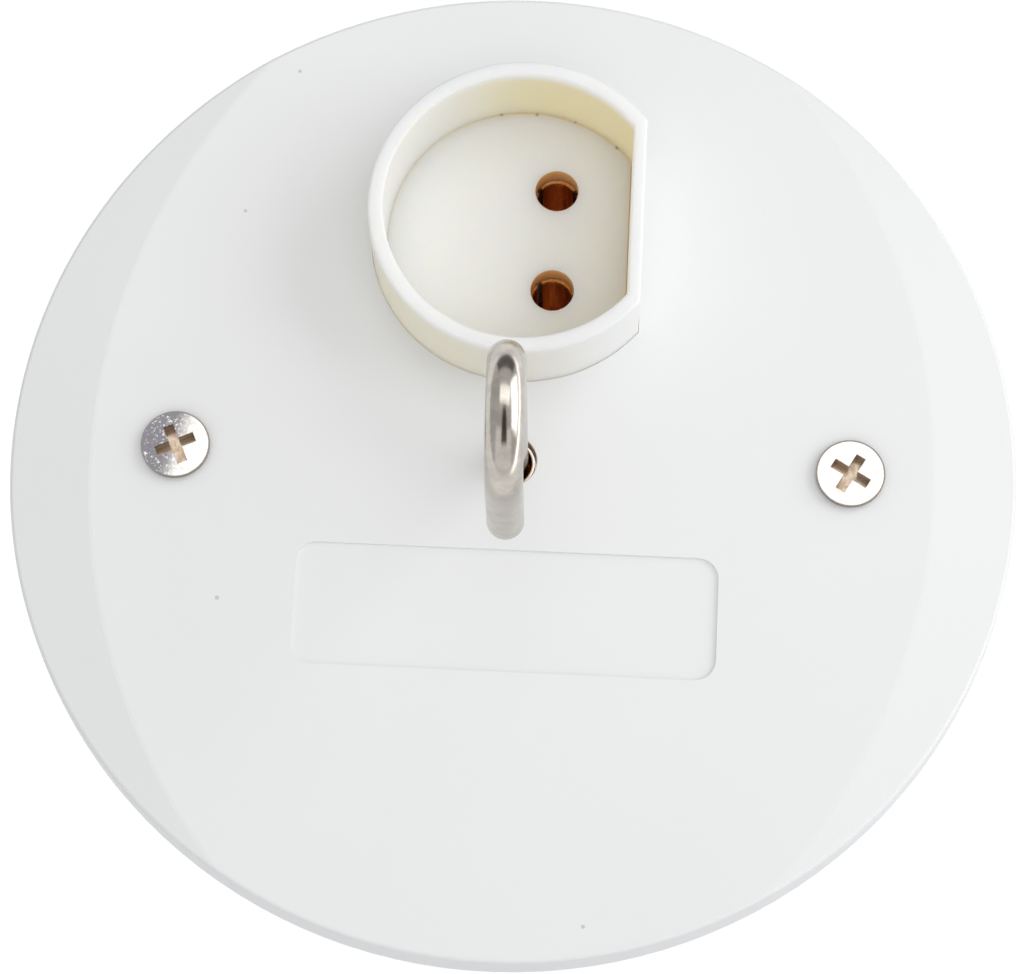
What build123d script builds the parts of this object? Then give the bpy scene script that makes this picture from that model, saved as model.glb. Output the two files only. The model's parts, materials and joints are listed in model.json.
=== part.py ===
from build123d import *
import math
import os

# Ceiling box cover with a two-pole lamp socket and a lamp hook, in millimetres.
# The origin is midway between the two fixing screws in the plane that meets the
# ceiling. +Z points away from the ceiling into the room, +X runs along the two
# fixing screws and +Y points towards the socket.

# Fits
slide_gap = 0.05        # between a moulded or turned piece and its seat
thread_gap = 0.05       # between a screw's crests and its tapped bore
boss_gap = 0.3          # between the socket's flange and the bosses beside it
collar_gap = 0.05       # between the collar and its opening in the plate

# Cover plate
plate_r = 48.0
plate_height = 4.0
plate_draft = 0.2       # radius lost from the foot to the face
face_wall = 2.4
rim_wall = 2.2
plate_edge_round = 0.4
crescent_width = 8.0    # from the plate's edge to the middle of each crease
crescent_drop = 1.3     # fall of the sloped crescent over that width
crease_r = 62.5
crease_round = 2.0

# Recessed panel on the face
panel_length = 39.8
panel_width = 11.8
panel_y = -14.68
panel_corner_r = 2.0
panel_depth = 0.3

# Stiffening ribs on the plate's back
rib_thickness = 1.2
rib_count = 12
rib_gap = 0.6           # from the strap and the socket's flange to the rib ring

# Screws that fix the cover to the ceiling box
fixing_pitch = 64.0
fixing_screw_r = 1.75
fixing_neck_r = 1.45
fixing_neck_drop = 0.5  # from the keeper down to the thread
fixing_screw_length = 25.0
fixing_head_r = 3.28
fixing_head_edge = 0.3
fixing_head_proud = 0.67
fixing_hole_gap = 0.3
cross_span = 3.9
cross_arm = 1.0
cross_depth = 1.4
cross_turn_left = 25.0
cross_turn_right = -30.0
keeper_r = 3.6
keeper_thickness = 0.8

# Steel strap that carries the hook
strap_width = 11.0
strap_thickness = 1.5
strap_end = 4.5         # from a fixing screw's axis to the strap's end
channel_length = 46.0   # the middle stretch whose edges are turned down
channel_depth = 5.3
channel_bend_r = 0.5    # inside the bends
guide_rail_length = 14.0
guide_rail_width = 1.4
guide_rail_x = 21.0

# Threaded bush riveted into the strap
bush_neck_r = 2.3
bush_sink = 0.9         # from the face down to the bush's mouth
bush_rivet_r = 3.0
bush_gap = 0.1          # between the bush's flats and the channel
bush_depth = 3.0
hook_hole_gap = 0.2

# Hook
hook_x = -0.15          # the hook stands this far off the middle of the screws
hook_turn = 1.4         # and is locked turned by this much
hook_wire_r = 1.68
hook_thread_r = 2.0
hook_thread_sink = 1.0  # from the bush's mouth down to the thread's end
hook_bend_r = 5.6
hook_rise = 28.6        # from the face to the centre of the bend
hook_arm = 12.0
hook_tip_round = 1.2
hook_tail = 12.0        # below the ceiling plane
washer_inset = 0.1      # from the bush's flats in to the spring washer's edge
spring_washer_thickness = 0.9
spring_washer_split = 0.8
nut_flats = 7.0
nut_thickness = 3.2

# Socket collar
collar_y = 22.63
collar_r = 14.67
collar_flat = 11.43     # from the collar's axis to its outer flat
collar_wall = 1.45
collar_flat_wall = 1.27
collar_height = 8.73    # above the face
collar_corner_r = 0.5
collar_edge_round = 0.25
floor_sink = 0.4        # below the face
floor_thickness = 2.4
flange_lip = 1.3
flange_thickness = 1.4

# Contacts
contact_pitch = 10.28
contact_x = 3.0
contact_hole_r = 2.1
sleeve_bore_r = 1.95
sleeve_wall = 0.55
sleeve_lead = 0.2       # chamfer at the sleeve's mouth
sleeve_sink = 0.3       # from the floor's underside down to the sleeve's mouth
sleeve_length = 9.3
slot_width = 0.6
slot_count = 3
slot_length = 7.0
slot_turn_upper = 148.0
slot_turn_lower = 130.0
contact_body_r = 3.1
contact_body_length = 6.5
wire_hole_r = 1.3
wire_hole_drop = 2.4    # from the shoulder to the wire hole's axis

# Carrier with the socket's floor and the guide tubes of the contacts
guide_wall = 1.0
carrier_base = 1.4      # the base that the collar stands on
carrier_spigot = 0.8    # reach of the carrier into the chamber

# Terminal screws
terminal_screw_r = 1.5
terminal_head_r = 2.2
terminal_head_height = 1.6
terminal_lift = 0.4     # the screws come backed off by this much
terminal_reach = 3.0
driver_slot_width = 0.6
driver_slot_depth = 0.7

# Terminal chamber and its cap
chamber_wall = 1.6
chamber_room = 1.1      # between a contact guide and the chamber's wall
chamber_corner_r = 2.0
barrier_wall = 1.4
wire_room = 7.0
wire_notch_width = 3.2
cap_thickness = 1.8
cap_tongue = 2.0
cap_boss_r = 2.0
cap_boss_inset = 3.0
cap_screw_r = 1.1
cap_screw_length = 7.0
cap_head_r = 1.9
cap_head_height = 1.3
access_gap = 0.2        # round a terminal screw's head in the cap

# Screws and bosses that hold the socket to the plate
socket_boss_r = 2.6
socket_boss_length = 4.0
ear_thickness = 2.0
socket_screw_r = 1.3
socket_screw_length = 5.6
socket_head_r = 2.3
socket_head_height = 1.6

# Levels and places that follow from the sizes above
face_z = plate_height
web_z = plate_height - face_wall
strap_z = web_z - strap_thickness
rim_z = face_z + collar_height
floor_z = face_z - floor_sink
floor_under_z = floor_z - floor_thickness
flange_z = web_z - flange_thickness
sleeve_r = sleeve_bore_r + sleeve_wall
sleeve_mouth_z = floor_under_z - sleeve_sink
shoulder_z = sleeve_mouth_z - sleeve_length
contact_end_z = shoulder_z - contact_body_length
wire_hole_z = shoulder_z - wire_hole_drop
guide_r = sleeve_r + slide_gap + guide_wall
carrier_z = flange_z - carrier_base
spigot_z = carrier_z - carrier_spigot
cap_z = contact_end_z - cap_thickness
boss_end_z = web_z - socket_boss_length
ear_z = boss_end_z - ear_thickness
bush_mouth_z = face_z - bush_sink
bush_flats = strap_width - 2 * strap_thickness - 2 * bush_gap
spring_washer_r = bush_flats / 2 - washer_inset
bush_end_z = strap_z - bush_depth
washer_end_z = bush_end_z - spring_washer_thickness
nut_end_z = washer_end_z - nut_thickness
hook_hole_r = bush_neck_r + hook_hole_gap
bend_z = face_z + hook_rise
fixing_hole_r = fixing_screw_r + fixing_hole_gap
head_top_z = face_z + fixing_head_proud
crease_reach = plate_r - crescent_width
strap_reach = fixing_pitch / 2 + strap_end
hook_place = (hook_x, 0)
contact_places = {
    "upper": (contact_x, collar_y + contact_pitch / 2),
    "lower": (contact_x, collar_y - contact_pitch / 2),
}
chamber_right = contact_x + guide_r + chamber_room + chamber_wall
chamber_left = contact_x - contact_body_r - wire_room - chamber_wall
chamber_half = contact_pitch / 2 + guide_r + chamber_room + chamber_wall
cap_screw_places = {
    "left": (chamber_left + cap_boss_inset, collar_y),
    "right": (chamber_right - cap_boss_inset, collar_y),
}
flange_r = collar_r + flange_lip
flange_flat = collar_flat + flange_lip
well_r = collar_r - collar_wall
well_flat = collar_flat - collar_flat_wall
socket_screw_places = {
    "left": (-flange_r - boss_gap - socket_boss_r, collar_y),
    "right": (flange_flat + boss_gap + socket_boss_r, collar_y),
}
fixing_sides = {"left": -1, "right": 1}
on_base = (Align.CENTER, Align.CENTER, Align.MIN)


def prism(outline, bottom, top):
    """Straight extrusion of an outline between two levels."""
    return Pos(0, 0, bottom) * extrude(outline, amount=top - bottom)


def rod(radius, bottom, top, place=(0, 0)):
    """Round bar or hole between two levels."""
    return Pos(*place, 0) * prism(Circle(radius), bottom, top)


def turned(points):
    """Piece turned about Z from a half section given as (radius, level) points."""
    section = make_face(Polyline([(r, 0, z) for r, z in points], close=True))
    return revolve(section, Axis.Z)


def d_outline(radius, flat, corner_r):
    """Circle cut off straight on its +X side, with its two corners eased."""
    cut = Pos(flat + radius, 0) * Rectangle(2 * radius, 2 * radius)
    outline = Circle(radius) - cut
    return Pos(0, collar_y) * fillet(outline.vertices(), corner_r)


def sloped(blank, top):
    """Blank whose top falls away in a crescent on its left and right."""
    slope_run = crescent_width / crescent_drop
    for side in fixing_sides.values():
        slope = Cone(crease_r + top * slope_run, crease_r, top, align=on_base)
        slope = fillet(slope.edges().sort_by(Axis.Z)[-1], crease_round)
        blank &= Pos(side * (crease_reach - crease_r), 0, 0) * slope
    return blank


def rim_edges(plate):
    """The upper edges of the plate's drafted side, without its seam and foot."""
    chosen = []
    for edge in plate.edges():
        middle = edge @ 0.5
        on_side = math.hypot(middle.X, middle.Y) > plate_r - plate_draft - slide_gap
        if on_side and middle.Z > slide_gap and edge.geom_type != GeomType.LINE:
            chosen.append(edge)
    return chosen


def chamber_outline(inset):
    """Rounded rectangle of the terminal chamber, drawn in by an inset."""
    length = 2 * (chamber_half - inset)
    width = chamber_right - chamber_left - 2 * inset
    corner_r = max(chamber_corner_r - inset, slide_gap)
    middle = (chamber_right + chamber_left) / 2
    return Pos(middle, collar_y) * RectangleRounded(width, length, corner_r)


def cover_plate():
    """Moulded plate: sloped crescents, rim, panel, openings, ribs and bosses."""
    blank = Cone(plate_r, plate_r - plate_draft, face_z, align=on_base)
    plate = sloped(blank, face_z)
    plate = fillet(rim_edges(plate), plate_edge_round)
    inner_r = plate_r - rim_wall
    plate -= sloped(rod(inner_r, 0, web_z), web_z)

    ring_r = max(strap_reach, collar_y + flange_r) + rib_gap
    rib_length = inner_r - ring_r + slide_gap
    rib = Pos(ring_r + rib_length / 2, 0) * Rectangle(rib_length, rib_thickness)
    plate += prism(Circle(ring_r + rib_thickness) - Circle(ring_r), 0, web_z)
    for step in range(rib_count):
        plate += Rot(0, 0, (step + 0.5) * 360 / rib_count) * prism(rib, 0, web_z)
    rail = Rectangle(guide_rail_length, guide_rail_width)
    rail_y = (strap_width + guide_rail_width) / 2 + slide_gap
    for rails in GridLocations(2 * guide_rail_x, 2 * rail_y, 2, 2):
        plate += rails * prism(rail, strap_z, web_z)
    for place in socket_screw_places.values():
        plate += rod(socket_boss_r, boss_end_z, web_z, place)
        plate -= rod(socket_screw_r + thread_gap, boss_end_z, web_z, place)

    opening = d_outline(collar_r + collar_gap, collar_flat + collar_gap, collar_corner_r)
    plate -= prism(opening, 0, face_z)
    plate -= rod(hook_hole_r, 0, face_z, hook_place)
    for side in fixing_sides.values():
        place = (side * fixing_pitch / 2, 0)
        plate -= rod(fixing_hole_r, 0, face_z, place)
        plate -= Pos(*place, 0) * head_cone(slide_gap)
    panel = RectangleRounded(panel_length, panel_width, panel_corner_r)
    plate -= Pos(0, panel_y) * prism(panel, face_z - panel_depth, face_z)
    return plate


def head_cone(grow):
    """Right-angled cone under a fixing screw's head, grown all round."""
    radius = fixing_head_r + grow * math.sqrt(2)
    cone_z = head_top_z - fixing_head_edge
    return turned([(0, cone_z - radius), (radius, cone_z), (0, cone_z)])


def socket_housing():
    """Moulded D collar, open right through, with a flange behind the plate."""
    outside = d_outline(collar_r, collar_flat, collar_corner_r)
    well = d_outline(well_r, well_flat, collar_corner_r)
    flange = d_outline(flange_r, flange_flat, collar_corner_r)
    housing = prism(outside - well, flange_z, rim_z)
    housing = fillet(housing.faces().sort_by(Axis.Z)[-1].edges(), collar_edge_round)
    return housing + prism(flange - well, flange_z, web_z)


def contact_carrier():
    """The socket's floor with two pin holes, its base, and the guide tubes."""
    floor = d_outline(well_r - slide_gap, well_flat - slide_gap, collar_corner_r)
    base = d_outline(collar_r, collar_flat, collar_corner_r)
    spigot = chamber_outline(chamber_wall + slide_gap)
    carrier = prism(floor, flange_z, floor_z) + prism(base, carrier_z, flange_z)
    carrier += prism(spigot, spigot_z, carrier_z)
    for place in contact_places.values():
        carrier += rod(guide_r, shoulder_z, carrier_z, place)
        carrier -= rod(sleeve_r + slide_gap, shoulder_z, floor_under_z, place)
        carrier -= rod(contact_hole_r, floor_under_z, floor_z, place)
    return carrier


def terminal_chamber():
    """Moulded chamber: walls, barrier between the poles, cap bosses and ears."""
    chamber = prism(chamber_outline(0), contact_end_z, carrier_z)
    chamber -= prism(chamber_outline(chamber_wall), contact_end_z, carrier_z)
    barrier_length = chamber_right - chamber_left - 2 * chamber_wall
    barrier = Pos((chamber_right + chamber_left) / 2, collar_y)
    chamber += barrier * prism(Rectangle(barrier_length, barrier_wall), contact_end_z, spigot_z)
    for place in cap_screw_places.values():
        chamber += rod(cap_boss_r, contact_end_z, spigot_z, place)
        pilot_end = contact_end_z + cap_screw_length
        chamber -= rod(cap_screw_r + thread_gap, contact_end_z, pilot_end, place)
    for _, y in contact_places.values():
        chamber -= Pos(chamber_left, y) * wire_notch(wire_notch_width)
    return chamber + chamber_ears()


def wire_notch(width):
    """Round-ended notch in the chamber's wall, open at the cap."""
    arch = Pos(0, wire_hole_z) * Circle(width / 2)
    slot = Pos(0, (wire_hole_z + contact_end_z) / 2) * Rectangle(width, wire_hole_z - contact_end_z)
    outline = Plane.YZ * (arch + slot)
    return extrude(outline, amount=chamber_wall + slide_gap, both=True)


def chamber_ears():
    """Two ears from the chamber to the bosses on the plate's back."""
    ears = Part()
    for side, (x, y) in socket_screw_places.items():
        wall_x = chamber_left if side == "left" else chamber_right
        wall_x += chamber_wall / 2 if side == "left" else -chamber_wall / 2
        arm = Pos((x + wall_x) / 2, y) * Rectangle(abs(x - wall_x), 2 * socket_boss_r)
        ear = prism(arm + Pos(x, y) * Circle(socket_boss_r), ear_z, boss_end_z)
        ears += ear - rod(socket_screw_r + thread_gap, ear_z, boss_end_z, (x, y))
    return ears


def socket_back_cap():
    """Flat cap that shuts the terminal chamber, with tongues in the wire notches."""
    cap = prism(chamber_outline(0), cap_z, contact_end_z)
    tongue_z = contact_end_z + cap_tongue
    for x, y in contact_places.values():
        tongue = Rectangle(chamber_wall, wire_notch_width - 2 * slide_gap)
        cap += Pos(chamber_left + chamber_wall / 2, y) * prism(tongue, contact_end_z, tongue_z)
        cap -= rod(terminal_head_r + access_gap, cap_z, contact_end_z, (x, y))
    for place in cap_screw_places.values():
        cap -= rod(cap_screw_r + thread_gap, cap_z, contact_end_z, place)
    return cap


def contact(place, slot_turn):
    """Turned brass contact: slotted spring sleeve, wire hole and tapped end."""
    x, y = place
    piece = rod(sleeve_r, shoulder_z, sleeve_mouth_z, place)
    piece += rod(contact_body_r, contact_end_z, shoulder_z, place)
    piece -= rod(sleeve_bore_r, shoulder_z, sleeve_mouth_z, place)
    mouth = Cone(sleeve_bore_r, sleeve_bore_r + sleeve_lead, sleeve_lead, align=on_base)
    piece -= Pos(x, y, sleeve_mouth_z - sleeve_lead) * mouth
    slot = Pos(sleeve_r, 0) * Rectangle(2 * sleeve_r, slot_width)
    for step in range(slot_count):
        turn = Pos(x, y) * Rot(0, 0, slot_turn + step * 360 / slot_count)
        piece -= turn * prism(slot, sleeve_mouth_z - slot_length, sleeve_mouth_z)
    wire_hole = extrude(Plane.YZ * Circle(wire_hole_r), amount=contact_body_r, both=True)
    piece -= Pos(x, y, wire_hole_z) * wire_hole
    piece -= rod(terminal_screw_r + thread_gap, contact_end_z, wire_hole_z, place)
    return piece


def slotted_screw(radius, length, head_r, head_height, place, seat_z):
    """Cheese-head screw driven upwards, with its head's seat at a level."""
    screw = rod(radius, seat_z, seat_z + length - radius / 2, place)
    tip = Cone(radius, radius / 2, radius / 2, align=on_base)
    screw += Pos(*place, seat_z + length - radius / 2) * tip
    screw += rod(head_r, seat_z - head_height, seat_z, place)
    head_z = seat_z - head_height
    slot = prism(Rectangle(2 * head_r, driver_slot_width), head_z, head_z + driver_slot_depth)
    return screw - Pos(*place, 0) * slot


def hook_strap():
    """Pressed steel strap: flat round ends and a channel along its middle."""
    strap = prism(SlotOverall(2 * strap_reach, strap_width), strap_z, web_z)
    channel_end_z = web_z - channel_depth
    outside = prism(Rectangle(channel_length, strap_width), channel_end_z, web_z)
    inside_width = strap_width - 2 * strap_thickness
    inside = prism(Rectangle(channel_length, inside_width), channel_end_z, strap_z)
    outside = fillet(
        outside.faces().sort_by(Axis.Z)[-1].edges().filter_by(Axis.X),
        channel_bend_r + strap_thickness,
    )
    inside = fillet(
        inside.faces().sort_by(Axis.Z)[-1].edges().filter_by(Axis.X),
        channel_bend_r,
    )
    strap_ends = strap - prism(Rectangle(channel_length, strap_width), strap_z, web_z)
    strap = strap_ends + (outside - inside)
    strap -= rod(bush_rivet_r + slide_gap, strap_z, web_z, hook_place)
    for side in fixing_sides.values():
        strap -= rod(fixing_hole_r, strap_z, web_z, (side * fixing_pitch / 2, 0))
    return strap


def hex_outline(flats):
    """Hexagon across its flats."""
    return RegularPolygon(flats / 2, 6, major_radius=False)


def hook_bush():
    """Tapped hexagon bush: rivet neck in the strap, thin neck in the plate."""
    bush = prism(hex_outline(bush_flats), bush_end_z, strap_z)
    bush = chamfer(bush.faces().sort_by(Axis.Z)[-1].edges(), channel_bend_r)
    bush += rod(bush_rivet_r, strap_z, web_z)
    bush += rod(bush_neck_r, web_z, bush_mouth_z)
    bush -= rod(hook_thread_r + thread_gap, bush_end_z, bush_mouth_z)
    return Pos(*hook_place, 0) * bush


def ceiling_hook():
    """Wire hook: threaded shank, half-round bend and an arm back to the plate."""
    tip_z = bend_z - hook_arm
    path = Line((0, 0, 0), (0, 0, bend_z))
    path += ThreePointArc(
        (0, 0, bend_z),
        (0, -hook_bend_r, bend_z + hook_bend_r),
        (0, -2 * hook_bend_r, bend_z),
    )
    path += Line((0, -2 * hook_bend_r, bend_z), (0, -2 * hook_bend_r, tip_z))
    wire = sweep(Plane.XY * Circle(hook_wire_r), path=path)
    tip = wire.edges().filter_by_position(Axis.Z, tip_z - slide_gap, tip_z + slide_gap)
    wire = fillet(tip, hook_tip_round)
    thread_z = bush_mouth_z - hook_thread_sink
    hook = wire + rod(hook_thread_r, -hook_tail, thread_z)
    return Pos(*hook_place, 0) * Rot(0, 0, hook_turn) * hook


def hook_spring_washer():
    """Split spring washer under the lock nut."""
    ring = Circle(spring_washer_r) - Circle(hook_thread_r + thread_gap)
    ring -= Pos(spring_washer_r, 0) * Rectangle(2 * spring_washer_r, spring_washer_split)
    return Pos(*hook_place, 0) * prism(ring, washer_end_z, bush_end_z)


def hook_lock_nut():
    """Hexagon nut that locks the hook at its height."""
    nut = prism(hex_outline(nut_flats), nut_end_z, washer_end_z)
    nut -= rod(hook_thread_r + thread_gap, nut_end_z, washer_end_z)
    return Pos(*hook_place, 0) * nut


def fixing_screw(side, cross_turn):
    """Countersunk cross-recess screw through the plate and the strap."""
    cone_z = head_top_z - fixing_head_edge
    neck_end_z = strap_z - keeper_thickness - fixing_neck_drop
    tip_z = head_top_z - fixing_screw_length
    screw = turned([
        (0, head_top_z),
        (fixing_head_r, head_top_z),
        (fixing_head_r, cone_z),
        (fixing_neck_r, cone_z - fixing_head_r + fixing_neck_r),
        (fixing_neck_r, neck_end_z),
        (fixing_screw_r, neck_end_z),
        (fixing_screw_r, tip_z + fixing_screw_r),
        (0, tip_z),
    ])
    arm = Rectangle(cross_span, cross_arm)
    recess = prism(arm + Rot(0, 0, 90) * arm, head_top_z - cross_depth, head_top_z)
    screw -= Rot(0, 0, cross_turn) * recess
    return Pos(side * fixing_pitch / 2, 0, 0) * screw


def screw_keeper(side):
    """Fibre washer round a fixing screw's neck, too small for the thread to pass."""
    ring = Circle(keeper_r) - Circle(fixing_neck_r + slide_gap)
    return Pos(side * fixing_pitch / 2, 0, 0) * prism(ring, strap_z - keeper_thickness, strap_z)


parts = {
    "cover_plate": cover_plate(),
    "socket_housing": socket_housing(),
    "contact_carrier": contact_carrier(),
    "terminal_chamber": terminal_chamber(),
    "socket_back_cap": socket_back_cap(),
    "hook_strap": hook_strap(),
    "hook_bush": hook_bush(),
    "ceiling_hook": ceiling_hook(),
    "hook_spring_washer": hook_spring_washer(),
    "hook_lock_nut": hook_lock_nut(),
}
slot_turns = {"upper": slot_turn_upper, "lower": slot_turn_lower}
for name, place in contact_places.items():
    parts[f"contact_{name}"] = contact(place, slot_turns[name])
    parts[f"terminal_screw_{name}"] = slotted_screw(
        terminal_screw_r,
        terminal_reach,
        terminal_head_r,
        terminal_head_height,
        place,
        contact_end_z - terminal_lift,
    )
for name, place in cap_screw_places.items():
    parts[f"cap_screw_{name}"] = slotted_screw(
        cap_screw_r,
        cap_screw_length,
        cap_head_r,
        cap_head_height,
        place,
        cap_z,
    )
for name, place in socket_screw_places.items():
    parts[f"socket_screw_{name}"] = slotted_screw(
        socket_screw_r,
        socket_screw_length,
        socket_head_r,
        socket_head_height,
        place,
        ear_z,
    )
cross_turns = {"left": cross_turn_left, "right": cross_turn_right}
for name, side in fixing_sides.items():
    parts[f"fixing_screw_{name}"] = fixing_screw(side, cross_turns[name])
    parts[f"screw_keeper_{name}"] = screw_keeper(side)

os.makedirs("parts", exist_ok=True)
for name, shape in parts.items():
    export_step(shape, f"parts/{name}.step")
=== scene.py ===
import json
import math

import bmesh
import bpy
from mathutils import Matrix, Vector


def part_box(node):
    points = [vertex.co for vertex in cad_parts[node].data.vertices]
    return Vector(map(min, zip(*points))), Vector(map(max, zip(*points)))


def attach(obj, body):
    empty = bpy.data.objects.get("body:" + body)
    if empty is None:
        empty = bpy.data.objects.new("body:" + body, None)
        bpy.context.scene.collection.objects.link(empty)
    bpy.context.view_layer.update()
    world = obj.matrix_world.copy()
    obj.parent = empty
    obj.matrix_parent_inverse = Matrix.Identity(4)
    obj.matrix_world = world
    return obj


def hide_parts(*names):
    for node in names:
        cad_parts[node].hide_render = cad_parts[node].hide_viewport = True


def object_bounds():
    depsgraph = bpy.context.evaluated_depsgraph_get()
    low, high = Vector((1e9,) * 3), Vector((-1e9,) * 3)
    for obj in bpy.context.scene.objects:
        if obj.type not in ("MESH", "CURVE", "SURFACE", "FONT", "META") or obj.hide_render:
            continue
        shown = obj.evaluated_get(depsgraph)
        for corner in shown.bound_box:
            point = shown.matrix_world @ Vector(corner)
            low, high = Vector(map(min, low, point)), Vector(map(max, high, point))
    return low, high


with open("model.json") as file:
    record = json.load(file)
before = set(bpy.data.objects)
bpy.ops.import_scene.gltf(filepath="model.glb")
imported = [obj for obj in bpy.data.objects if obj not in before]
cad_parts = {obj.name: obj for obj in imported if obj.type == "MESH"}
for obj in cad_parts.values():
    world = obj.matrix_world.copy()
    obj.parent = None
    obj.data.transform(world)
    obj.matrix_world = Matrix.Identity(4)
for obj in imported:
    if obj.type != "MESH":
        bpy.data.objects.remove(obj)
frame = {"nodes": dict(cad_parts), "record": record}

cad_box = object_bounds()
nodes = frame["nodes"]
MM = 0.001


def axis_of(name):
    """X and Y of the middle of a round node."""
    low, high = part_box(name)
    return (low.x + high.x) / 2, (low.y + high.y) / 2


def sleeve_axis(name):
    """X and Y of a contact's sleeve, which lies at the node's +X side."""
    low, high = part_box(name)
    return high.x - (high.y - low.y) / 2, (low.y + high.y) / 2


# Sizes of the part that its boxes don't give
bush_sink = 0.9 * MM        # from the plate's face down to the top of the bush
collar_y = 22.63 * MM
collar_r = 14.67 * MM
well_r = 13.22 * MM
well_flat = 10.16 * MM      # from the collar's axis to the inside of its flat wall

# Levels and places read from the model
bush_low, bush_high = (corner.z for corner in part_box("hook_bush"))
face_z = bush_high + bush_sink
socket_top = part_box("socket_housing")[1].z
floor_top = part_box("contact_carrier")[1].z
mouth_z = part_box("contact_upper")[1].z
head_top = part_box("fixing_screw_left")[1].z
hook_x = axis_of("hook_bush")[0]

screw_sides = ("left", "right")

# Radii of the round areas that the materials mark, and the width of their edge
mask_edge = 0.1 * MM
hook_hole_r = 2.5 * MM
bush_bore_r = 2.1 * MM
pin_hole_r = 2.3 * MM
recess_r = 2.2 * MM
head_r = 3.2 * MM


# Node arithmetic


class Value:
    """A node's output, so that sums and masks read as plain arithmetic."""

    def __init__(self, graph, socket):
        self.graph = graph
        self.socket = socket

    def __add__(self, other):
        return self.graph.maths("ADD", self, other)

    def __sub__(self, other):
        return self.graph.maths("SUBTRACT", self, other)

    def __rsub__(self, other):
        return self.graph.maths("SUBTRACT", other, self)

    def __mul__(self, other):
        return self.graph.maths("MULTIPLY", self, other)

    def __truediv__(self, other):
        return self.graph.maths("DIVIDE", self, other)

    def above(self, low, high):
        """0 below low, 1 above high and a smooth rise between them."""
        settings = {"interpolation_type": "SMOOTHSTEP"}
        inputs = {"Value": self, "From Min": low, "From Max": high}
        return self.graph.add("ShaderNodeMapRange", settings, inputs)

    def below(self, low, high):
        """1 below low, 0 above high and a smooth fall between them."""
        return 1 - self.above(low, high)

    __radd__ = __add__
    __rmul__ = __mul__


class Graph:
    """A node tree that is filled by one method."""

    def __init__(self, tree):
        self.tree = tree

    def add(self, kind, settings=None, inputs=None, output=0):
        """Adds a node: its settings first, then the values or links of its sockets."""
        node = self.tree.nodes.new(kind)
        for name, setting in (settings or {}).items():
            setattr(node, name, setting)
        for socket, term in (inputs or {}).items():
            if isinstance(term, Value):
                self.tree.links.new(term.socket, node.inputs[socket])
            else:
                node.inputs[socket].default_value = term
        return Value(self, node.outputs[output])

    def maths(self, operation, *terms):
        """A sum or function of numbers and of other nodes' outputs."""
        return self.add("ShaderNodeMath", {"operation": operation}, dict(enumerate(terms)))


class Finish(Graph):
    """A material whose nodes are added one by one round a Principled shader."""

    def __init__(self, name):
        self.material = bpy.data.materials.new(name)
        self.material.use_nodes = True
        super().__init__(self.material.node_tree)
        self.shader = self.tree.nodes["Principled BSDF"]
        self.place = self.add("ShaderNodeTexCoord", output="Object")

    def axis(self, name):
        """One coordinate of the object's own space."""
        return self.add("ShaderNodeSeparateXYZ", inputs={0: self.place}, output=name)

    def noise(self, scale, detail=2.0, roughness=0.5, vector=None):
        """Noise from 0 to 1, with its scale in waves to a metre."""
        inputs = {
            "Vector": vector or self.place,
            "Scale": scale,
            "Detail": detail,
            "Roughness": roughness,
        }
        return self.add("ShaderNodeTexNoise", inputs=inputs)

    def stretched(self, scale):
        """The object's coordinates, stretched along the axes."""
        inputs = {"Vector": self.place, "Scale": scale}
        return self.add("ShaderNodeMapping", inputs=inputs)

    def blend(self, factor, first, second):
        """Mix of two colours."""
        inputs = {0: factor, 6: self.colour(first), 7: self.colour(second)}
        return self.add("ShaderNodeMix", {"data_type": "RGBA"}, inputs, output=2)

    def colour(self, colour):
        return colour if isinstance(colour, Value) else (*colour, 1.0)

    def near(self, centre, radius, soft):
        """1 within a radius of a point, falling to 0 over a soft edge."""
        settings = {"operation": "DISTANCE"}
        inputs = {0: self.place, 1: centre}
        distance = self.add("ShaderNodeVectorMath", settings, inputs, output="Value")
        return distance.below(radius, radius + soft)

    def from_axis(self, x, y):
        """Distance from an upright line through (x, y)."""
        offset_x = self.axis("X") - x
        offset_y = self.axis("Y") - y
        return self.maths("SQRT", offset_x * offset_x + offset_y * offset_y)

    def within(self, place, radius, soft=mask_edge):
        """1 within a radius of an upright line, falling to 0 over a soft edge."""
        return self.from_axis(*place).below(radius, radius + soft)

    def bump(self, height, strength, depth, normal=None):
        inputs = {"Height": height, "Strength": strength, "Distance": depth}
        if normal:
            inputs["Normal"] = normal
        return self.add("ShaderNodeBump", inputs=inputs)

    def set(self, **sockets):
        """Values or links of the shader's own sockets, named with underscores."""
        for name, term in sockets.items():
            socket = self.shader.inputs[name.replace("_", " ")]
            if isinstance(term, Value):
                self.tree.links.new(term.socket, socket)
            elif isinstance(term, tuple):
                socket.default_value = self.colour(term)
            else:
                socket.default_value = term
        return self.material


# Plastics

plastic_ior = 1.5
grain_scale = 2600.0
grain_depth = 0.02 * MM
speck_colour = (0.23, 0.19, 0.15)
speck_soft = 0.08 * MM

# Specks of dirt on the face and in the crease round the socket's floor, as
# (X, Y, radius) in millimetres
face_specks = [
    (-27.0, -14.7, 0.16),
    (8.6, -44.1, 0.14),
    (-22.8, 39.1, 0.14),
    (-27.1, 24.2, 0.12),
    (45.3, -12.2, 0.18),
]
crease_specks = [
    (-2.8, 35.6, 0.16),
    (0.7, 35.7, 0.13),
    (4.5, 35.1, 0.12),
    (8.7, 32.6, 0.20),
]


def specked(finish, colour, specks, level, strength):
    """A colour with specks of dirt at one level."""
    for x, y, radius in specks:
        speck = finish.near((x * MM, y * MM, level), radius * MM, speck_soft)
        colour = finish.blend(speck * strength, colour, speck_colour)
    return colour


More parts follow.
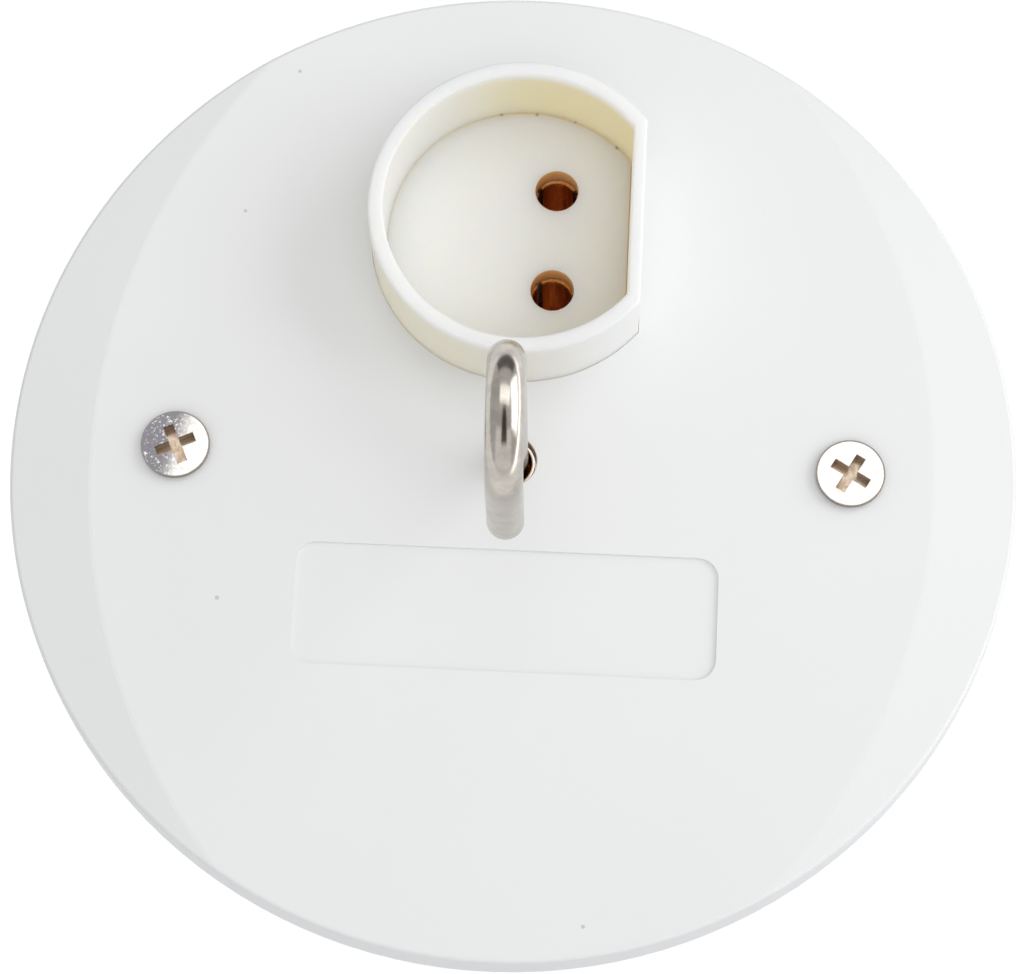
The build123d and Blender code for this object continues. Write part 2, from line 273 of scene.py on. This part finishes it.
def plate_plastic():
    """White moulded plastic: faint clouding, fine texture and a few specks."""
    finish = Finish("cover_plastic")
    clear = (0.855, 0.868, 0.873)
    clouded = tuple(part * 0.975 for part in clear)
    colour = finish.blend(finish.noise(45.0, 3.0), clouded, clear)
    colour = specked(finish, colour, face_specks, face_z, 0.4)
    # Brown on the wall of the hook's hole
    brown_wash = finish.within((hook_x, 0.0), hook_hole_r) * 0.9
    colour = finish.blend(brown_wash, colour, (0.62, 0.47, 0.36))
    grain = finish.bump(finish.noise(grain_scale), 0.12, grain_depth)
    swell = finish.bump(finish.noise(160.0, 1.0), 0.2, 0.05 * MM, grain)
    rough = 0.27 + 0.06 * finish.noise(300.0)
    return finish.set(Base_Color=colour, Roughness=rough, Normal=swell, IOR=plastic_ior)


def seam_below(z, level):
    """1 on the walls of a narrow gap, from just below its mouth to 1 mm down."""
    mouth = z.below(level - 0.04 * MM, level - 0.01 * MM)
    return mouth * z.above(level - 1.2 * MM, level - 1.0 * MM)


def socket_plastic():
    """Warmer plastic of the lamp socket; painted shade makes it deepest in colour on its
    shaded inner wall.
    """
    finish = Finish("socket_plastic")
    light = (0.912, 0.924, 0.912)
    # Deeper ivory painted as shade on the well's wall, floor and outer wall
    painted_shade_ivory = (0.84, 0.74, 0.51)
    x, y, z = (finish.axis(name) for name in "XYZ")
    from_axis = finish.from_axis(0.0, collar_y)

    # Painted shade: the well's wall is painted yellower away from the light, and not its outer
    # faces
    round_wall = from_axis.above(well_r - 0.3 * MM, well_r)
    flat_wall = x.above(well_flat - 0.2 * MM, well_flat - 0.05 * MM)
    inside_round = from_axis.below(well_r + 0.3 * MM, well_r + 0.7 * MM)
    inside_flat = x.below(well_flat + 0.2 * MM, well_flat + 0.4 * MM)
    wall = finish.maths("MAXIMUM", round_wall, flat_wall) * inside_round * inside_flat
    below_top = z.below(socket_top - 1.5 * MM, socket_top - 0.2 * MM)
    shaded = x.above(-12.0 * MM, 2.0 * MM)
    cloud = finish.noise(70.0, 3.0) * 0.08
    colour = finish.blend(wall * below_top * shaded * 0.85 + cloud, light, painted_shade_ivory)

    # Painted shade: the floor is painted more ivory towards the flat, whose wall shades it
    on_floor = from_axis.below(well_r - 0.3 * MM, well_r)
    on_floor = on_floor * z.below(floor_top + 0.1 * MM, floor_top + 0.2 * MM)
    floor_shade = 0.06 + 0.16 * x.above(-2.0 * MM, 12.0 * MM)
    colour = finish.blend(on_floor * floor_shade, colour, painted_shade_ivory)

    # Painted shade: the outer wall is painted deeper at the side away from the light, below
    # the rim
    outer = from_axis.above(collar_r - 0.3 * MM, collar_r - 0.1 * MM)
    away = (x + 0.5 * y).below(-4.0 * MM, 14.0 * MM)
    under_rim = z.below(socket_top - 1.0 * MM, socket_top - 0.3 * MM)
    colour = finish.blend(outer * away * under_rim * 0.5, colour, painted_shade_ivory)

    # Painted reflected light: the walls of the pin holes are painted the warm colour of light
    # off the brass below them
    in_floor = z.below(floor_top - 0.25 * MM, floor_top - 0.05 * MM)
    seam = seam_below(z, floor_top)
    for contact in ("contact_upper", "contact_lower"):
        in_hole = finish.within(sleeve_axis(contact), pin_hole_r, 0.2 * MM)
        colour = finish.blend(in_hole * in_floor, colour, (0.93, 0.56, 0.27))
        seam = seam * (1 - in_hole)
    colour = specked(finish, colour, crease_specks, floor_top, 0.6)

    # Painted light: the seams' walls glow a little, standing in for light through the thin
    # plastic, so that the seams show as faint brown lines
    glow = finish.blend(seam, (0.0, 0.0, 0.0), (0.12, 0.10, 0.062))
    glow = finish.blend(seam_below(z, face_z) * outer, glow, (0.15, 0.115, 0.08))
    finish.set(Emission_Color=glow, Emission_Strength=1.0)
    finish.material.cycles.emission_sampling = "NONE"

    # Light scatters through the thin walls, red the farthest
    finish.set(Subsurface_Weight=0.85, Subsurface_Scale=4.0 * MM)
    finish.shader.inputs["Subsurface Radius"].default_value = (1.0, 0.85, 0.6)
    grain = finish.bump(finish.noise(grain_scale), 0.1, grain_depth)
    rough = 0.32 + 0.08 * finish.noise(300.0)
    return finish.set(Base_Color=colour, Roughness=rough, Normal=grain, IOR=plastic_ior)


def cap_plastic():
    """Matt off-white plastic of the chamber and its cap."""
    finish = Finish("cap_plastic")
    cloud = finish.noise(120.0, 3.0)
    colour = finish.blend(cloud, (0.62, 0.60, 0.54), (0.67, 0.65, 0.59))
    grain = finish.bump(finish.noise(3000.0), 0.3, 0.03 * MM)
    return finish.set(Base_Color=colour, Roughness=0.6, Normal=grain)


def keeper_fibre():
    """Red-brown pressed fibre."""
    finish = Finish("keeper_fibre")
    fleck = finish.noise(1500.0, 4.0, 0.7)
    colour = finish.blend(fleck, (0.26, 0.07, 0.04), (0.40, 0.14, 0.08))
    normal = finish.bump(fleck, 0.4, 0.05 * MM)
    return finish.set(Base_Color=colour, Roughness=0.75, Normal=normal)


# Metals

tarnish = (0.36, 0.22, 0.12)


def plated_metal(name, bright, dull, rough, scale, depth):
    """Plated metal: mottled reflection and a roughness that wanders."""
    finish = Finish(name)
    mottle = finish.noise(scale, 4.0, 0.6).above(0.35, 0.65)
    tint = finish.blend(mottle, dull, bright)
    normal = finish.bump(finish.noise(scale * 0.7, 3.0), 0.5, depth)
    wander = rough + 0.12 * finish.noise(scale * 1.5)
    finish.set(Base_Color=tint, Metallic=1.0, Roughness=wander, Normal=normal)
    return finish, tint


def hook_metal():
    """Polished nickel, tarnished brown where the thread sits in the bush."""
    finish, tint = plated_metal(
        "hook_metal",
        bright=(0.61, 0.575, 0.515),
        dull=(0.52, 0.48, 0.44),
        rough=0.14,
        scale=700.0,
        depth=0.04 * MM,
    )
    z = finish.axis("Z")
    in_bush = z.below(face_z - 1.2 * MM, face_z) * z.above(bush_low, bush_low + 1.0 * MM)
    return finish.set(Base_Color=finish.blend(in_bush, tint, tarnish))


def dark_area(finish):
    """The left head is darker and flecked, but for its right and lower right."""
    x, y = axis_of("fixing_screw_left")
    head = finish.within((x, y), head_r) * finish.axis("Z").above(face_z, head_top)
    fleck = finish.noise(3500.0, 3.0, 0.7)
    across = finish.axis("X") - 0.25 * finish.axis("Y") + 1.4 * MM * fleck
    dull = across.below(x - 0.2 * MM, x + 2.2 * MM)
    return dull * (1 - fleck.above(0.54, 0.66) * 0.8) * head


def screw_metal():
    """Nickel on the screws and the bush: tarnished recesses and bore, and painted shade round
    the heads' rims.
    """
    finish, tint = plated_metal(
        "screw_metal",
        bright=(0.78, 0.76, 0.72),
        dull=(0.62, 0.60, 0.57),
        rough=0.18,
        scale=1500.0,
        depth=0.02 * MM,
    )
    z = finish.axis("Z")
    tint = finish.blend(finish.within((hook_x, 0.0), bush_bore_r), tint, tarnish)
    metallic = 1.0
    for side in screw_sides:
        from_axis = finish.from_axis(*axis_of(f"fixing_screw_{side}"))
        recess = z.below(head_top - 0.3 * MM, head_top - 0.05 * MM)
        recess = recess * from_axis.below(recess_r, recess_r + mask_edge)
        recess = recess * z.above(head_top - 3.0 * MM, head_top - 2.8 * MM)
        patchy = 0.55 + 0.4 * finish.noise(1800.0, 3.0, 0.6).above(0.4, 0.6)
        brown_wash = recess * patchy
        tint = finish.blend(brown_wash, tint, (0.60, 0.43, 0.28))
        metallic = metallic - brown_wash * 0.7
        # Painted shade: a dark ring round the edge of each head
        rim = from_axis.above(3.1 * MM, 3.17 * MM) * from_axis.below(3.3 * MM, 3.4 * MM)
        tint = finish.blend(rim * 0.9, tint, (0.14, 0.12, 0.10))
    tint = finish.blend(dark_area(finish), tint, (0.17, 0.165, 0.18))
    return finish.set(Base_Color=tint, Metallic=metallic)


def strap_metal():
    """Zinc plate, duller than the nickel."""
    finish = plated_metal(
        "strap_metal",
        bright=(0.62, 0.63, 0.65),
        dull=(0.50, 0.51, 0.53),
        rough=0.35,
        scale=400.0,
        depth=0.05 * MM,
    )[0]
    return finish.material


def brass():
    """Turned brass, browner and streaked down inside the sleeves."""
    finish = Finish("contact_metal")
    down = finish.axis("Z").below(mouth_z - 1.2 * MM, mouth_z - 0.1 * MM)
    upright = finish.stretched((1.0, 1.0, 0.05))
    streaks = finish.noise(900.0, vector=upright).above(0.35, 0.65)
    brown = finish.blend(streaks, (0.34, 0.14, 0.06), (0.76, 0.40, 0.17))
    colour = finish.blend(down, (0.98, 0.76, 0.46), brown)
    return finish.set(Base_Color=colour, Metallic=1.0, Roughness=0.15 + 0.2 * streaks)


materials = {
    "cover_plastic": plate_plastic(),
    "socket_plastic": socket_plastic(),
    "cap_plastic": cap_plastic(),
    "hook_metal": hook_metal(),
    "screw_metal": screw_metal(),
    "strap_metal": strap_metal(),
    "contact_metal": brass(),
    "keeper_fibre": keeper_fibre(),
}
slot_of = {s["node"]: s["material_slot"] for s in frame["record"]["subparts"]}
for name, node in nodes.items():
    node.data.materials.clear()
    node.data.materials.append(materials[slot_of[name]])


# Rolled threads

weld = 0.001 * MM
thread_overlap = 0.03 * MM
thread_corners = 40         # round the rod
thread_steps = 8            # rings in each pitch
flank = (0.15, 0.85)        # where the ridge rises, as shares of the way to its crest
run_out = (0.1, 0.9)        # where the thread rises at its ends, in pitches
smooth_angle = math.radians(35)

box_thread = {"crest_r": 1.75 * MM, "depth": 0.33 * MM, "pitch": 0.6 * MM}
box_thread_high = -1.2 * MM
hook_thread = {"crest_r": 2.0 * MM, "depth": 0.38 * MM, "pitch": 0.7 * MM}
hook_thread_low = -12.0 * MM
hook_thread_high = 2.1 * MM


def thread_tree():
    """Geometry nodes of a closed threaded rod about Z."""
    tree = bpy.data.node_groups.new("rolled_thread", "GeometryNodeTree")
    graph = Graph(tree)
    sizes = ("Crest Radius", "Thread Depth", "Pitch", "Length")
    given_kinds = dict.fromkeys(sizes, "NodeSocketFloat")
    given_kinds.update({"Rings": "NodeSocketInt", "Finish": "NodeSocketMaterial"})
    for name, kind in given_kinds.items():
        tree.interface.new_socket(name, in_out="INPUT", socket_type=kind)
    tree.interface.new_socket("Geometry", in_out="OUTPUT", socket_type="NodeSocketGeometry")
    given = tree.nodes.new("NodeGroupInput").outputs
    crest, depth, pitch, length = (Value(graph, given[name]) for name in sizes)

    rod = graph.add("GeometryNodeMeshCylinder", {"fill_type": "NGON"}, {
        "Vertices": thread_corners,
        "Side Segments": Value(graph, given["Rings"]),
        "Radius": crest,
        "Depth": length,
    })
    position = {0: graph.add("GeometryNodeInputPosition")}
    x, y, z = (graph.add("ShaderNodeSeparateXYZ", None, position, axis) for axis in "XYZ")
    turn = graph.maths("ARCTAN2", y, x) / (2 * math.pi)
    ridge = graph.maths("PINGPONG", z / pitch - turn, 0.5) * 2
    from_end = length / 2 - graph.maths("ABSOLUTE", z)
    ridge = ridge.above(*flank) * (from_end / pitch).above(*run_out)
    spread = 1 - depth * (1 - ridge) / crest
    moved = graph.add("ShaderNodeCombineXYZ", None, {0: x * spread, 1: y * spread, 2: z})
    shaped = {"Geometry": rod, "Position": moved}
    whole = {"Geometry": graph.add("GeometryNodeSetPosition", None, shaped)}
    finished = graph.add("GeometryNodeSetMaterial", None, {
        "Geometry": graph.add("GeometryNodeRealizeInstances", None, whole),
        "Material": Value(graph, given["Finish"]),
    })
    tree.links.new(finished.socket, tree.nodes.new("NodeGroupOutput").inputs["Geometry"])
    return tree


thread_nodes = thread_tree()


def thread_mesh(crest_r, depth, pitch, length, finish):
    """Plain mesh of a threaded rod, centred on the origin."""
    holder = bpy.data.objects.new("thread", bpy.data.meshes.new("thread"))
    bpy.context.scene.collection.objects.link(holder)
    modifier = holder.modifiers.new("thread", "NODES")
    modifier.node_group = thread_nodes
    given = {
        "Crest Radius": crest_r,
        "Thread Depth": depth,
        "Pitch": pitch,
        "Length": length,
        "Rings": round(length / pitch * thread_steps),
        "Finish": finish,
    }
    for socket in thread_nodes.interface.items_tree:
        if socket.name in given:
            modifier[socket.identifier] = given[socket.name]
    graph = bpy.context.evaluated_depsgraph_get()
    mesh = bpy.data.meshes.new_from_object(holder.evaluated_get(graph))
    bpy.data.objects.remove(holder)
    return mesh


def threaded(node_name, axis_x, low, high, crest_r, depth, pitch):
    """Copy of a node with the plain stretch of its shank turned into a thread."""
    finish = materials[slot_of[node_name]]
    core_r = crest_r - depth - thread_overlap
    mesh = bmesh.new()
    mesh.from_mesh(nodes[node_name].data)
    bmesh.ops.remove_doubles(mesh, verts=mesh.verts, dist=weld)
    for vertex in mesh.verts:
        radius = math.hypot(vertex.co.x - axis_x, vertex.co.y)
        if low - weld < vertex.co.z < high + weld and radius > crest_r - thread_overlap:
            vertex.co.x = axis_x + (vertex.co.x - axis_x) * core_r / radius
            vertex.co.y *= core_r / radius
    thread = thread_mesh(crest_r, depth, pitch, high - low, finish)
    thread.transform(Matrix.Translation((axis_x, 0, (low + high) / 2)))
    mesh.from_mesh(thread)
    piece_mesh = bpy.data.meshes.new(f"threaded_{node_name}")
    mesh.to_mesh(piece_mesh)
    mesh.free()
    piece_mesh.materials.append(finish)
    # The normals of the plain shank don't fit the changed mesh
    for stale in ("custom_normal", "sharp_edge", "sharp_face"):
        if stale in piece_mesh.attributes:
            piece_mesh.attributes.remove(piece_mesh.attributes[stale])
    piece_mesh.shade_smooth()
    piece_mesh.set_sharp_from_angle(angle=smooth_angle)
    piece = bpy.data.objects.new(piece_mesh.name, piece_mesh)
    bpy.context.scene.collection.objects.link(piece)
    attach(piece, "root")
    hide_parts(node_name)


for side in screw_sides:
    screw = f"fixing_screw_{side}"
    tip_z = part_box(screw)[0].z + box_thread["crest_r"]
    threaded(screw, axis_of(screw)[0], tip_z, box_thread_high, **box_thread)
threaded("ceiling_hook", hook_x, hook_thread_low, hook_thread_high, **hook_thread)


# Floor

floor_drop = 1.0 * MM
floor_size = 4.0
floor_glow = 1.04
floor_shown = 0.97          # share of the white that the camera and polished metal see


def square(size):
    """Corners of a square about the origin."""
    half = size / 2
    return (-half, -half), (half, -half), (half, half), (-half, half)


def stage_plane(name, outline, matrix):
    """Flat four-cornered plane that isn't part of the object."""
    mesh = bpy.data.meshes.new(name)
    mesh.from_pydata([(*corner, 0) for corner in outline], [], [(0, 1, 2, 3)])
    plane = bpy.data.objects.new(name, mesh)
    bpy.context.scene.collection.objects.link(plane)
    plane.matrix_world = matrix
    return plane


def floor_finish():
    """Floor that keeps the object's shadow and shows white behind it."""
    finish = Finish("floor")
    finish.set(Base_Color=(0.42, 0.45, 0.50), Roughness=0.9)
    white = finish.add("ShaderNodeEmission", inputs={"Strength": floor_glow})
    seen = 0.0
    for ray in ("Is Camera Ray", "Is Glossy Ray", "Is Transmission Ray"):
        seen = seen + finish.add("ShaderNodeLightPath", output=ray)
    mixed = finish.add("ShaderNodeMixShader", inputs={
        0: seen * floor_shown,
        1: Value(finish, finish.shader.outputs[0]),
        2: white,
    })
    output = finish.tree.nodes["Material Output"]
    finish.tree.links.new(mixed.socket, output.inputs["Surface"])
    return finish.material


floor_z = cad_box[0].z - floor_drop
floor = stage_plane("floor", square(floor_size), Matrix.Translation((0, 0, floor_z)))
floor.data.materials.append(floor_finish())


# Light

lamp_distance = 1.0


def area_light(name, bearing, height, size, radiance, matt=True, gloss=True):
    """Rectangular lamp a metre away, by its bearing from +X and height in degrees."""
    lamp = bpy.data.lights.new(name, "AREA")
    lamp.shape = "RECTANGLE"
    lamp.size, lamp.size_y = size
    lamp.energy = radiance * math.pi * lamp.size * lamp.size_y
    holder = bpy.data.objects.new(name, lamp)
    holder.visible_diffuse = matt
    holder.visible_glossy = gloss
    bpy.context.scene.collection.objects.link(holder)
    bearing, height = math.radians(bearing), math.radians(height)
    aim = Vector((math.cos(bearing), math.sin(bearing), math.tan(height))).normalized()
    place = Vector((0, 0, face_z)) + aim * lamp_distance
    turn = aim.to_track_quat("Z", "Y").to_matrix().to_4x4()
    holder.matrix_world = Matrix.Translation(place) @ turn


area_light("window", bearing=16.0, height=28.0, size=(1.1, 0.75), radiance=2.0)
area_light("overhead", bearing=280.0, height=75.0, size=(0.8, 0.8), radiance=0.92, gloss=False)
area_light("ceiling", bearing=88.0, height=67.0, size=(1.0, 0.45), radiance=1.35, matt=False)
area_light("front", bearing=270.0, height=35.0, size=(2.0, 1.2), radiance=0.3)

world = bpy.data.worlds.new("room")
world.use_nodes = True
background = world.node_tree.nodes["Background"].inputs
background["Color"].default_value = (1.0, 0.99, 0.98, 1)
background["Strength"].default_value = 0.545
bpy.context.scene.world = world
bpy.context.scene.view_settings.view_transform = "Standard"


# Camera, whose place and turn were solved from the collar, screws and panel

solved_face = 4.0           # millimetres from the ceiling plane to the plate's face
camera_place = Vector((7.93, -96.5, 309.5 + solved_face)) * MM
camera_turn = Vector((0.295, 0.018, 0.047))
focal_px = 3420.0
image_width_px = 1021.0
sensor_mm = 36.0

camera_data = bpy.data.cameras.new("camera")
camera_data.sensor_fit = "HORIZONTAL"
camera_data.sensor_width = sensor_mm
camera_data.lens = focal_px * sensor_mm / image_width_px
camera_data.clip_start = 0.01
camera = bpy.data.objects.new("camera", camera_data)
bpy.context.scene.collection.objects.link(camera)
turn = Matrix.Rotation(camera_turn.length, 4, camera_turn.normalized())
camera.matrix_world = Matrix.Translation(camera_place) @ turn
bpy.context.scene.camera = camera


# Cards that show only in the polished metal


def card(name, radiance, outline, matrix):
    """Glowing or dark plane that only glossy rays see."""
    finish = Finish(name)
    finish.set(Base_Color=(0, 0, 0), Roughness=1.0)
    finish.set(Emission_Color=radiance, Emission_Strength=1.0)
    plane = stage_plane(name, outline, matrix)
    plane.data.materials.append(finish.material)
    plane.visible_camera = False
    plane.visible_diffuse = False
    plane.visible_shadow = False


person_outline = (-0.1, -0.16), (0.1, -0.16), (0.05, 0.14), (-0.05, 0.14)
behind_camera = camera.matrix_world @ Matrix.Translation((0, 0, 0.01))
card("photographer", (0.03, 0.02, 0.012), person_outline, behind_camera)

sill_place = Matrix.Translation((0.65, 0.1, floor.location.z + 2 * MM))
card("sill", (2.6, 2.6, 2.6), square(0.9), sill_place)

wall_outline = (-0.9, 0.0), (0.9, 0.0), (0.9, 0.62), (-0.9, 0.62)
wall_place = Matrix.Translation((0, 1.3, 0.0)) @ Matrix.Rotation(math.radians(90), 4, "X")
card("dark wall", (0.1, 0.095, 0.1), wall_outline, wall_place)
